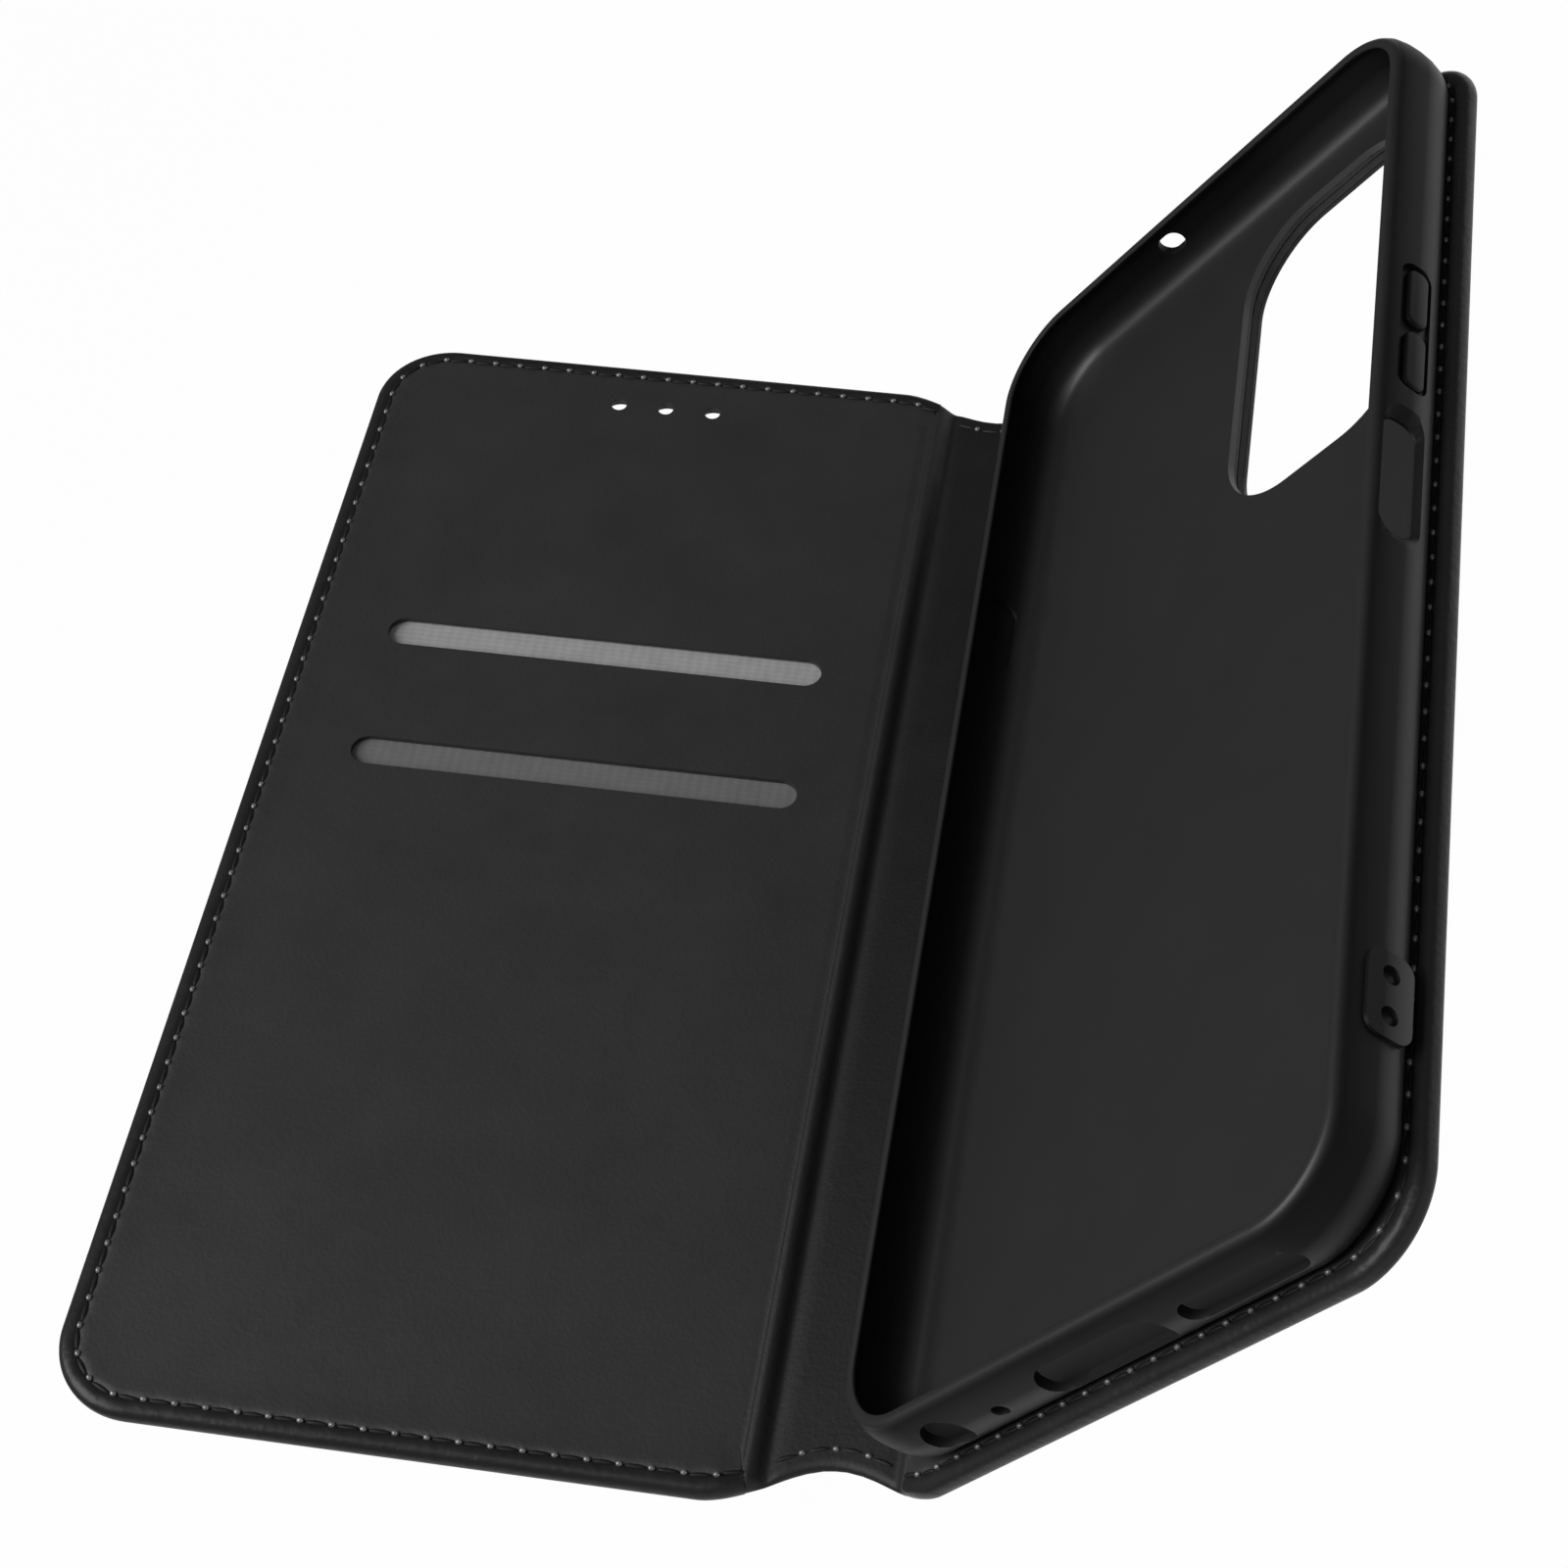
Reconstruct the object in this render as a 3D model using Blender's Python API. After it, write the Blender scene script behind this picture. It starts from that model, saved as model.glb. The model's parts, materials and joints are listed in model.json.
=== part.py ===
"""Phone wallet case: a soft moulded phone shell glued into a stitched two-panel folio with card slots."""
from math import cos, pi, radians, sin

import bmesh
import bpy
from mathutils import Matrix

MM = 0.001

# Phone and shell, in millimetres
PHONE_W = 75.4
PHONE_H = 165.2
PHONE_CORNER = 10.0
SHELL_BASE_Z = 2.5
FLOOR_Z = 3.4
PORT_Z = 6.8
CORNER_STEPS = 7

# Offsets from the phone's outline, as (height, offset) pairs from the base up
SHELL_OUTER = ((2.5, -1.4), (2.65, -0.9), (3.1, -0.2), (3.8, 0.4), (4.8, 0.8), (6.2, 1.0), (7.6, 1.05),
               (9.4, 0.98), (10.8, 0.72), (11.5, 0.38), (11.8, 0.0))
SHELL_CAVITY = ((3.4, -1.8), (3.6, -1.0), (4.2, -0.35), (5.2, 0.0), (10.2, 0.0), (11.1, -0.55),
                (11.5, -0.9), (12.6, -0.9))

# Camera window, seen from the open side of the shell
WINDOW_CENTRE = (17.4, 52.1)
WINDOW_SIZE = (31.3, 48.7)
WINDOW_CORNER = 11.0
WINDOW_COVER_MARGIN = 0.5

# Right wall: volume window with two buttons, power cut-out, lanyard pad
VOLUME_Y = 29.2
VOLUME_Z = 7.6
VOLUME_SIZE = (19.6, 4.4)
VOLUME_CORNER = 1.7
BUTTON_PITCH = 9.9
BUTTON_INNER_X = 38.0
BUTTON_WEB_SIZE = (9.6, 4.1)
BUTTON_WEB_CORNER = 1.5
BUTTON_WEB_T = 0.25
BUTTON_SIZE = (8.6, 3.0)
BUTTON_CORNER = 1.25
BUTTON_DROP = 0.25
# Pad of a button, as (inset, height over the web's inner face)
BUTTON_PAD = ((0.0, 0.25), (0.0, 0.75), (0.12, 0.92), (0.35, 1.0))
POWER_Y = 6.7
POWER_Z = 8.2
# Power cut-out, as (length, height, corner radius, depth outward from the phone's side)
POWER_SECTIONS = ((16.4, 4.8, 2.0, -2.0), (16.4, 4.8, 2.0, 0.3), (20.0, 6.4, 2.7, 1.6))
LANYARD_Y = -60.0
LANYARD_PAD = (9.6, 5.6)
LANYARD_PAD_CORNER = 1.7
LANYARD_PAD_OUT = 1.4
LANYARD_PAD_T = 1.3
LANYARD_HOLE_PITCH = 4.6
LANYARD_HOLE_RADIUS = 1.05

# Bottom and top walls, x positions from the shell's middle
USB_X = 0.9
USB_Z = 6.6
USB_SIZE = (18.6, 6.0)
SPEAKER_X = 21.2
SPEAKER_SIZE = (16.6, 3.6)
JACK_X = -24.1
JACK_SIZE = (4.9, 4.9)
MIC_X = -15.4
MIC_SIZE = (2.0, 2.0)
TOP_MIC_X = -8.5
TOP_MIC_Z = 8.3
TOP_MIC_SIZE = (3.0, 2.4)
SIM_Y = 33.7
SIM_Z = 7.4
SIM_SIZE = (11.0, 5.0)
SIM_CORNER = 2.0
SIM_DEPTH = 0.4

# Covers: the hinge axis of each panel runs along its spine edge, and the tray sits a little above their middle
COVER_HALF_H = 84.3
COVER_Y = -0.6
PANEL_REACH = 80.6
PANEL_GAP = 1.1
COVER_CORNER = 10.0
COVER_T = 2.2
SKIN_T = 0.5
EDGE_W = 1.0
EDGE_ROUND = 0.45
LINING_INSET = 1.3
LINING_ROUND = 0.2
LINING_Z = (1.6, 2.2)
BACK_BOARD_Z = (0.6, 1.5)
FRONT_BOARD_Z = (0.6, 1.1)
BOARD_INSET = 1.6
ADHESIVE_Z = (2.3, 2.4)
ADHESIVE_INSET = 3.0

# Spine strip between the two hinge axes, cut back at top and bottom in an S
HINGE_X = -41.0
HINGE_Z = 0.95
SPINE_W = 15.0
SPINE_HALF_T = 0.8
SPINE_LAYER_GAP = 0.1
NOTCH_HALF_W = 7.2
NOTCH_DROP = 4.7
NOTCH_STEPS = 6
BACK_FOLD_DEG = 43.5
FRONT_FOLD_DEG = 10.8

# Front cover: card slots, pockets and ear-speaker holes, measured from the hinge axis
SLOT_U = 39.8
SLOT_SIZE = (57.5, 4.5)
UPPER_SLOT_Y = 31.4
LOWER_SLOT_Y = 11.1
SLOT_FLOOR_Z = 1.55
POCKET_W = 62.0
POCKET_CORNER = 3.0
POCKET_ABOVE_SLOT = 4.5
POCKET_BOTTOM_Y = -78.0
UPPER_POCKET_Z = (1.2, 1.3)
LOWER_POCKET_Z = (1.4, 1.5)
EAR_HOLE_Y = 76.5
EAR_HOLE_PITCH = 6.6
# Ear hole, as (height, radius): straight through the lining, then flared to the outer face
EAR_HOLE = ((3.2, 1.05), (1.55, 1.05), (0.0, 2.3), (-0.6, 2.78))
HOLE_SIDES = 16

# Closure magnets in the boards, near the free edge
MAGNET_SIZE = (4.0, 18.0)
MAGNET_CORNER = 0.5
MAGNET_U = 74.4
MAGNET_UPPER_Y = 8.0
MAGNET_LOWER_Y = -50.0
MAGNET_GAP = 0.3
SMALL_CORNER_STEPS = 3
BACK_MAGNET_Z = (0.65, 1.45)
FRONT_MAGNET_Z = (0.62, 1.08)

CUT_PAST = 1.0
WALL_CUT = 5.0
ROUND_END = 0.99


def clear_scene():
    """Remove whatever the file starts with."""
    for item in list(bpy.data.objects):
        bpy.data.objects.remove(item, do_unlink=True)


def new_collection(name):
    """A collection linked to the scene."""
    group = bpy.data.collections.new(name)
    bpy.context.scene.collection.children.link(group)
    return group


def principled(name, colour, roughness, metallic=0.0):
    """A material with one Principled shader."""
    material = bpy.data.materials.new(name)
    material.use_nodes = True
    shader = material.node_tree.nodes["Principled BSDF"]
    shader.inputs["Base Color"].default_value = (*colour, 1.0)
    shader.inputs["Roughness"].default_value = roughness
    shader.inputs["Metallic"].default_value = metallic
    return material


def arc(cx, cy, radius, start, end, steps):
    """Points on an arc, angles in radians."""
    return [(cx + radius * cos(start + (end - start) * i / steps),
             cy + radius * sin(start + (end - start) * i / steps)) for i in range(steps + 1)]


def rounded_rectangle(width, height, radius, centre=(0.0, 0.0), steps=CORNER_STEPS):
    """Outline of a rectangle with round corners, anticlockwise."""
    a = width / 2 - radius
    b = height / 2 - radius
    corners = ((a, b, 0.0), (-a, b, pi / 2), (-a, -b, pi), (a, -b, 3 * pi / 2))
    points = []
    for x, y, start in corners:
        points += arc(centre[0] + x, centre[1] + y, radius, start, start + pi / 2, steps)
    return points


def notch_drop(u):
    """How far the cover's edge is cut back at a distance u outside the spine's nearest hinge axis."""
    t = min(max((u + NOTCH_HALF_W) / (2 * NOTCH_HALF_W), 0.0), 1.0)
    return NOTCH_DROP * (1.0 - t * t * (3.0 - 2.0 * t))


def panel_outline(inset):
    """Half outline of a panel from its spine edge round to the free edge, then mirrored to close it."""
    top = COVER_HALF_H - inset
    radius = COVER_CORNER - inset
    first = PANEL_GAP + inset
    step = (NOTCH_HALF_W - first) / NOTCH_STEPS
    upper = [(first + i * step, top - notch_drop(first + i * step)) for i in range(NOTCH_STEPS + 1)]
    upper += arc(PANEL_REACH - inset - radius, top - radius, radius, pi / 2, 0.0, CORNER_STEPS)
    return upper + [(u, -y) for u, y in reversed(upper)]


def spine_outline():
    """Outline of the spine strip between its two hinge axes, waisted at both ends."""
    count = 2 * NOTCH_STEPS
    upper = []
    for i in range(count + 1):
        u = -SPINE_W * i / count
        upper.append((u, COVER_HALF_H - notch_drop(max(u, -SPINE_W - u))))
    return upper + [(u, -y) for u, y in reversed(upper)]


def mesh_object(name, mesh, group, parent=None, material=None):
    """Put a welded mesh with outward faces into the scene."""
    work = bmesh.new()
    work.from_mesh(mesh)
    bmesh.ops.remove_doubles(work, verts=work.verts, dist=0.000001)
    bmesh.ops.recalc_face_normals(work, faces=work.faces)
    work.to_mesh(mesh)
    work.free()
    item = bpy.data.objects.new(name, mesh)
    group.objects.link(item)
    item.parent = parent
    if material:
        mesh.materials.clear()
        mesh.materials.append(material)
    return item


def plate_mesh(points, low, high, rounding=0.0):
    """Flat outline with thickness, from a filled 2D curve; rounding rolls its edges over."""
    data = bpy.data.curves.new("outline", "CURVE")
    data.dimensions = "2D"
    data.fill_mode = "BOTH"
    data.extrude = ((high - low) / 2 - rounding) * MM
    data.bevel_depth = rounding * MM
    data.bevel_resolution = 1
    data.offset = -rounding * MM
    spline = data.splines.new("POLY")
    spline.points.add(len(points) - 1)
    for point, (x, y) in zip(spline.points, points):
        point.co = (x * MM, y * MM, 0.0, 1.0)
    spline.use_cyclic_u = True
    curve = bpy.data.objects.new("outline", data)
    bpy.context.scene.collection.objects.link(curve)
    bpy.context.view_layer.update()
    evaluated = curve.evaluated_get(bpy.context.evaluated_depsgraph_get())
    mesh = bpy.data.meshes.new_from_object(evaluated)
    mesh.transform(Matrix.Translation((0.0, 0.0, (low + high) / 2 * MM)))
    bpy.data.objects.remove(curve, do_unlink=True)
    return mesh


def loft_mesh(sections):
    """Closed loft through outlines of equal point count, each a (points, height) pair."""
    work = bmesh.new()
    rings = [[work.verts.new((x * MM, y * MM, z * MM)) for x, y in points] for points, z in sections]
    count = len(rings[0])
    for lower, upper in zip(rings, rings[1:]):
        for i in range(count):
            j = (i + 1) % count
            work.faces.new((lower[i], lower[j], upper[j], upper[i]))
    work.faces.new(rings[0])
    work.faces.new(rings[-1])
    mesh = bpy.data.meshes.new("loft")
    work.to_mesh(mesh)
    work.free()
    return mesh


def phone_ring(offset):
    """The phone's outline moved out by an offset."""
    return rounded_rectangle(PHONE_W + 2 * offset, PHONE_H + 2 * offset, PHONE_CORNER + offset)


def stadium(size, centre=(0.0, 0.0)):
    """Outline of a slot whose ends are as round as its short side allows."""
    return rounded_rectangle(size[0], size[1], min(size) / 2 * ROUND_END, centre)


def circle(radius, centre=(0.0, 0.0)):
    """Outline of a round hole."""
    return arc(*centre, radius, 0.0, 2 * pi * (HOLE_SIDES - 1) / HOLE_SIDES, HOLE_SIDES - 1)


class Case:
    """Builds the pieces of the case into one collection, and their cutters into another."""

    def __init__(self):
        self.parts = new_collection("phone_wallet_case")
        self.cutters = new_collection("cutters")
        self.tpu = principled("soft_moulded_black", (0.012, 0.012, 0.013), 0.5)
        self.leather = principled("black_leather", (0.017, 0.017, 0.018), 0.45)
        self.lining = principled("black_lining", (0.021, 0.021, 0.022), 0.6)
        self.cloth = principled("grey_pocket_cloth", (0.2, 0.2, 0.2), 0.85)
        self.board = principled("dyed_board", (0.03, 0.029, 0.028), 0.9)
        self.film = principled("adhesive_film", (0.03, 0.03, 0.03), 0.5)
        self.magnet = principled("plated_magnet", (0.6, 0.6, 0.62), 0.3, 1.0)
        self.back_crease = self.pivot("back_crease", None, (HINGE_X, COVER_Y, HINGE_Z), BACK_FOLD_DEG)
        self.front_crease = self.pivot("front_crease", self.back_crease, (-SPINE_W, 0.0, 0.0), FRONT_FOLD_DEG)

    def pivot(self, name, parent, place, fold):
        """An empty on a hinge axis, turned by the fold at rest."""
        empty = bpy.data.objects.new(name, None)
        self.parts.objects.link(empty)
        empty.parent = parent
        empty.location = [value * MM for value in place]
        empty.rotation_euler = (0.0, radians(fold), 0.0)
        return empty

    def part(self, name, mesh, material, parent=None):
        """A piece of the case."""
        item = mesh_object(name, mesh, self.parts, parent, material)
        item.data.shade_smooth()
        item.data.set_sharp_from_angle(angle=radians(30))
        return item

    def cutter(self, mesh, parent=None):
        """A hidden solid that is only used to cut."""
        item = mesh_object("cutter", mesh, self.cutters, parent)
        item.hide_render = True
        item.display_type = "WIRE"
        return item

    def combine(self, item, other, operation="DIFFERENCE"):
        """Cut or join another solid with a Boolean."""
        step = item.modifiers.new(operation.lower(), "BOOLEAN")
        step.operation = operation
        step.object = other
        step.solver = "EXACT"

    def through_wall(self, item, outline, wall_turn, place, depth, operation="DIFFERENCE"):
        """Cut an outline through a shell wall: the outline is turned upright and set at a place."""
        mesh = plate_mesh(outline, -depth / 2, depth / 2)
        mesh.transform(Matrix.Translation([value * MM for value in place]) @ wall_turn)
        self.combine(item, self.cutter(mesh), operation)

    def build_shell(self):
        """Soft moulded tray with bulged walls, a turned-in lip, a coved floor and its cut-outs."""
        side = Matrix.Rotation(pi / 2, 4, "Z") @ Matrix.Rotation(pi / 2, 4, "X")
        end = Matrix.Rotation(pi / 2, 4, "X")
        half_w = PHONE_W / 2
        half_h = PHONE_H / 2
        shell = self.part("phone_shell", loft_mesh([(phone_ring(o), z) for z, o in SHELL_OUTER]), self.tpu)
        pad_place = (half_w + LANYARD_PAD_OUT - LANYARD_PAD_T / 2, LANYARD_Y, PORT_Z)
        pad = rounded_rectangle(*LANYARD_PAD, LANYARD_PAD_CORNER)
        self.through_wall(shell, pad, side, pad_place, LANYARD_PAD_T, "UNION")
        self.combine(shell, self.cutter(loft_mesh([(phone_ring(o), z) for z, o in SHELL_CAVITY])))
        window = rounded_rectangle(*WINDOW_SIZE, WINDOW_CORNER, WINDOW_CENTRE)
        self.combine(shell, self.cutter(plate_mesh(window, SHELL_BASE_Z - CUT_PAST, FLOOR_Z + CUT_PAST)))
        volume = rounded_rectangle(*VOLUME_SIZE, VOLUME_CORNER)
        self.through_wall(shell, volume, side, (half_w, VOLUME_Y, VOLUME_Z), WALL_CUT)
        flare = loft_mesh([(rounded_rectangle(length, height, corner), depth)
                           for length, height, corner, depth in POWER_SECTIONS])
        flare.transform(Matrix.Translation((half_w * MM, POWER_Y * MM, POWER_Z * MM)) @ side)
        self.combine(shell, self.cutter(flare))
        for offset in (-LANYARD_HOLE_PITCH / 2, LANYARD_HOLE_PITCH / 2):
            self.through_wall(shell, circle(LANYARD_HOLE_RADIUS), side, (half_w, LANYARD_Y + offset, PORT_Z), WALL_CUT)
        for x, z, size, sign in ((USB_X, USB_Z, USB_SIZE, -1), (SPEAKER_X, PORT_Z, SPEAKER_SIZE, -1),
                                 (JACK_X, PORT_Z, JACK_SIZE, -1), (MIC_X, PORT_Z, MIC_SIZE, -1),
                                 (TOP_MIC_X, TOP_MIC_Z, TOP_MIC_SIZE, 1)):
            self.through_wall(shell, stadium(size), end, (x, sign * half_h, z), WALL_CUT)
        sim = rounded_rectangle(*SIM_SIZE, SIM_CORNER)
        self.through_wall(shell, sim, side, (-half_w, SIM_Y, SIM_Z), 2 * SIM_DEPTH)
        for name, shift in (("volume_up_button", BUTTON_PITCH / 2), ("volume_down_button", -BUTTON_PITCH / 2)):
            self.build_button(name, side, (BUTTON_INNER_X, VOLUME_Y + shift, VOLUME_Z))

    def build_button(self, name, turn, place):
        """A rounded pad on a thin web that fills its half of the volume window."""
        web = rounded_rectangle(*BUTTON_WEB_SIZE, BUTTON_WEB_CORNER)
        sections = [(web, 0.0), (web, BUTTON_WEB_T)]
        for inset, height in BUTTON_PAD:
            size = [value - 2 * inset for value in BUTTON_SIZE]
            sections.append((rounded_rectangle(*size, BUTTON_CORNER - inset, (0.0, -BUTTON_DROP)), height))
        mesh = loft_mesh(sections)
        mesh.transform(turn)
        self.part(name, mesh, self.tpu).location = [value * MM for value in place]

    def build_cover_skin(self, name, parent, turn):
        """Outer leather with its edge turned up round the board and lining."""
        skin = plate_mesh(panel_outline(0.0), 0.0, COVER_T, EDGE_ROUND)
        tray = plate_mesh(panel_outline(EDGE_W), SKIN_T, COVER_T + CUT_PAST)
        skin.transform(turn)
        tray.transform(turn)
        item = self.part(name, skin, self.leather, parent)
        self.combine(item, self.cutter(tray, parent))
        return item

    def cover_plate(self, name, inset, heights, material, parent, turn, rounding=0.0):
        """A layer of a cover, inset from its edge."""
        mesh = plate_mesh(panel_outline(inset), *heights, rounding)
        mesh.transform(turn)
        return self.part(name, mesh, material, parent)

    def add_magnets(self, board, prefix, heights, parent, place_in, u):
        """Two bar magnets let into a board near the free edge, at a signed distance u from the hinge axis."""
        for place, y in (("upper", MAGNET_UPPER_Y), ("lower", MAGNET_LOWER_Y)):
            outline = rounded_rectangle(*MAGNET_SIZE, MAGNET_CORNER, (u, y), SMALL_CORNER_STEPS)
            bar = plate_mesh(outline, *heights)
            bed = [value + 2 * MAGNET_GAP for value in MAGNET_SIZE]
            outline = rounded_rectangle(*bed, MAGNET_CORNER + MAGNET_GAP, (u, y), SMALL_CORNER_STEPS)
            seat = plate_mesh(outline, -CUT_PAST, COVER_T + CUT_PAST)
            bar.transform(place_in)
            seat.transform(place_in)
            self.part(f"{prefix}_magnet_{place}", bar, self.magnet, parent)
            self.combine(board, self.cutter(seat, parent))

    def build_back_cover(self):
        """Back panel under the shell, with the camera window through every layer."""
        turn = Matrix.Translation((HINGE_X * MM, COVER_Y * MM, 0.0))
        skin = self.build_cover_skin("back_outer_skin", None, turn)
        board = self.cover_plate("back_board", BOARD_INSET, BACK_BOARD_Z, self.board, None, turn)
        lining = self.cover_plate("back_lining", LINING_INSET, LINING_Z, self.lining, None, turn, LINING_ROUND)
        glue = plate_mesh(phone_ring(-ADHESIVE_INSET), *ADHESIVE_Z)
        adhesive = self.part("shell_adhesive", glue, self.film)
        size = [value + 2 * WINDOW_COVER_MARGIN for value in WINDOW_SIZE]
        window = rounded_rectangle(*size, WINDOW_CORNER, WINDOW_CENTRE)
        opening = self.cutter(plate_mesh(window, -CUT_PAST, FLOOR_Z))
        for layer in (skin, board, lining, adhesive):
            self.combine(layer, opening)
        self.add_magnets(board, "back", BACK_MAGNET_Z, None, turn, MAGNET_U)

    def build_spine(self):
        """Spine strip of two leather layers between the hinge axes."""
        half_gap = SPINE_LAYER_GAP / 2
        layers = (("spine_outer_skin", (-SPINE_HALF_T, -half_gap), self.leather),
                  ("spine_lining", (half_gap, SPINE_HALF_T), self.lining))
        for name, heights, material in layers:
            self.part(name, plate_mesh(spine_outline(), *heights), material, self.back_crease)

    def build_front_cover(self):
        """Front panel with two card slots, their pockets and three holes over the ear speaker."""
        lift = Matrix.Translation((0.0, 0.0, -HINGE_Z * MM))
        turn = lift @ Matrix.Rotation(pi, 4, "Z")
        parent = self.front_crease
        skin = self.build_cover_skin("front_outer_skin", parent, turn)
        board = self.cover_plate("front_board", BOARD_INSET, FRONT_BOARD_Z, self.board, parent, turn)
        lining = self.cover_plate("front_lining", LINING_INSET, LINING_Z, self.lining, parent, turn, LINING_ROUND)
        self.add_magnets(board, "front", FRONT_MAGNET_Z, parent, lift, -MAGNET_U)
        pockets = (("upper_card_pocket", UPPER_SLOT_Y, UPPER_POCKET_Z),
                   ("lower_card_pocket", LOWER_SLOT_Y, LOWER_POCKET_Z))
        for name, slot_y, heights in pockets:
            top = slot_y + POCKET_ABOVE_SLOT
            centre = (-SLOT_U, (top + POCKET_BOTTOM_Y) / 2)
            size = (POCKET_W, top - POCKET_BOTTOM_Y)
            outline = rounded_rectangle(*size, POCKET_CORNER, centre, SMALL_CORNER_STEPS)
            cloth = plate_mesh(outline, *heights)
            cloth.transform(lift)
            self.part(name, cloth, self.cloth, parent)
            slot = plate_mesh(stadium(SLOT_SIZE, (-SLOT_U, slot_y)), SLOT_FLOOR_Z, COVER_T + CUT_PAST)
            slot.transform(lift)
            self.combine(lining, self.cutter(slot, parent))
        for shift in (-EAR_HOLE_PITCH, 0.0, EAR_HOLE_PITCH):
            hole = loft_mesh([(circle(radius, (shift - SLOT_U, EAR_HOLE_Y)), z) for z, radius in EAR_HOLE])
            hole.transform(lift)
            drill = self.cutter(hole, parent)
            for layer in (skin, board, lining):
                self.combine(layer, drill)


def main():
    """Build the whole case."""
    clear_scene()
    case = Case()
    case.build_back_cover()
    case.build_shell()
    case.build_spine()
    case.build_front_cover()
    bpy.context.view_layer.update()


main()
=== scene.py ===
"""Looks of the phone wallet case: moulded tray, stitched leather covers, bending spine and pocket cloth."""
import json
from math import atan2, cos, pi, radians, sin

import bmesh
import bpy
from mathutils import Matrix, Vector


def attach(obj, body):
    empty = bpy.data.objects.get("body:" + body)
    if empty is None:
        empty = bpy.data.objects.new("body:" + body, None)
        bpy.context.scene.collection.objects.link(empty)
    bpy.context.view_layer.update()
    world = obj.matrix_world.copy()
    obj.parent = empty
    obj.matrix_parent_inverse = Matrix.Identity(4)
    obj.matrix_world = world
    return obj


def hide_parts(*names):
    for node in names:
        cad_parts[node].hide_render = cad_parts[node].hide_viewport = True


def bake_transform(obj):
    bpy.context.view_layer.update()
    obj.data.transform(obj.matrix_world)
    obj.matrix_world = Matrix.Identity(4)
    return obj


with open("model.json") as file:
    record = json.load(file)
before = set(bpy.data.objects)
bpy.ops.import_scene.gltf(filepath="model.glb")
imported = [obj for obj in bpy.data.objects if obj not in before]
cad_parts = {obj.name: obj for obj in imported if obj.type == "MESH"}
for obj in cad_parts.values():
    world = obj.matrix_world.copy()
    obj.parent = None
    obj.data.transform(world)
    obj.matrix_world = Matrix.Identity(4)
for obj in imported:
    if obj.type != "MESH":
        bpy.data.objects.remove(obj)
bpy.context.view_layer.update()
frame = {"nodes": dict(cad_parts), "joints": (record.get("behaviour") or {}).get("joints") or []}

MM = 0.001

# Photograph's camera, in the case's own frame
CAMERA_AT = (0.22154, -0.2323, 0.16546)
CAMERA_RIGHT = (0.55497, 0.15797, -0.81674)
CAMERA_FORWARD = (-0.703, 0.61397, -0.35893)
CAMERA_NEAR = 0.01
FOCAL_PX = 3231.4
IMAGE_PX = 1600
SENSOR_MM = 36.0

# Studio, in metres and watts
WHITE = (1.0, 1.0, 1.0, 1.0)
WORLD_STRENGTH = 0.08
TOP_BOX = {"place": (-0.05, -0.32, 0.9), "aim": (-0.04, -0.04, 0.02), "size": 0.75, "watts": 11.5}
SIDE_BOX = {"place": (0.7, -0.45, 0.7), "aim": (0.0, 0.0, 0.03), "size": 0.5, "watts": 1.1}
STUDIO_HALF_SIZE = 30.0
STUDIO_LEVEL = -0.0004
STUDIO_GREY = (0.3, 0.3, 0.3)
STUDIO_ROUGH = 0.9
STUDIO_WHITE_SHARE = 0.985

# Fineness of outlines and shading
CORNER_STEPS = 10
HOLE_SIDES = 28
ROUND_END_SHARE = 0.495
SHARP_DEG = 40.0
MERGE_M = 0.0000005

# Moulded tray, in millimetres; its section as (offset from the phone's outline, height) up, over and down
PHONE_W = 75.4
PHONE_H = 165.2
PHONE_CORNER = 10.0
TRAY_PROFILE = ((-2.4, 2.5), (-1.4, 2.5), (-0.9, 2.65), (-0.2, 3.1), (0.42, 3.8), (0.92, 4.8), (1.24, 6.2),
                (1.34, 7.7), (1.26, 9.3), (0.95, 10.7), (0.52, 11.44), (0.2, 11.74), (-0.1, 11.82),
                (-0.6, 11.82), (-0.82, 11.75), (-0.9, 11.58), (-0.84, 11.38), (-0.56, 11.05), (-0.2, 10.55),
                (0.0, 9.9), (0.02, 7.5), (0.0, 5.6), (-0.14, 4.75), (-0.6, 3.95), (-1.3, 3.52), (-2.2, 3.4),
                (-3.4, 3.4))
TRAY_CORNER_STEPS = 20
TRAY_SIDE_PIECES = (20, 44)
TRAY_FLOOR_Z = 3.4
TRAY_TOP_Z = 11.82
TRAY_EDGE = 0.2
TRAY_EDGE_DEG = 48.0
WALL_CUT = 5.0

# Camera window of the tray and the back cover
WINDOW_CENTRE = (17.4, 52.1)
WINDOW_SIZE = (31.3, 48.7)
WINDOW_CORNER = 11.0
WINDOW_CORNER_STEPS = 18
WINDOW_CUT_ZS = (1.5, TRAY_FLOOR_Z + 0.5)
WINDOW_COVER_MARGIN = 0.5

# Volume buttons: their place as (along the wall, height), webs and pads as (length, height, corner)
VOLUME_PLACE = (29.2, 7.6)
VOLUME_SIZE = (19.6, 4.4)
VOLUME_CORNER = 1.7
BUTTON_PITCH = 9.9
BUTTON_INNER_X = 38.0
BUTTON_WEB = (9.7, 4.2, 1.5)
BUTTON_WEB_T = 0.25
BUTTON_WEB_INNER_CORNER = 0.1
BUTTON_WEB_GAP = 0.02
BUTTON_PAD = (8.6, 3.0, 1.25)
BUTTON_DROP = 0.25
BUTTON_RISE = ((0.0, BUTTON_WEB_T), (0.0, 0.6), (0.04, 0.76), (0.14, 0.9), (0.3, 0.98), (0.5, 1.0))

# Power key cut-out, its scoop as (length, height, corner, distance out of the wall)
POWER_PLACE = (6.7, 8.2)
POWER_SECTIONS = ((16.4, 4.8, 2.0, -2.0), (16.4, 4.8, 2.0, 0.3), (20.0, 6.4, 2.7, 1.6))

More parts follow.
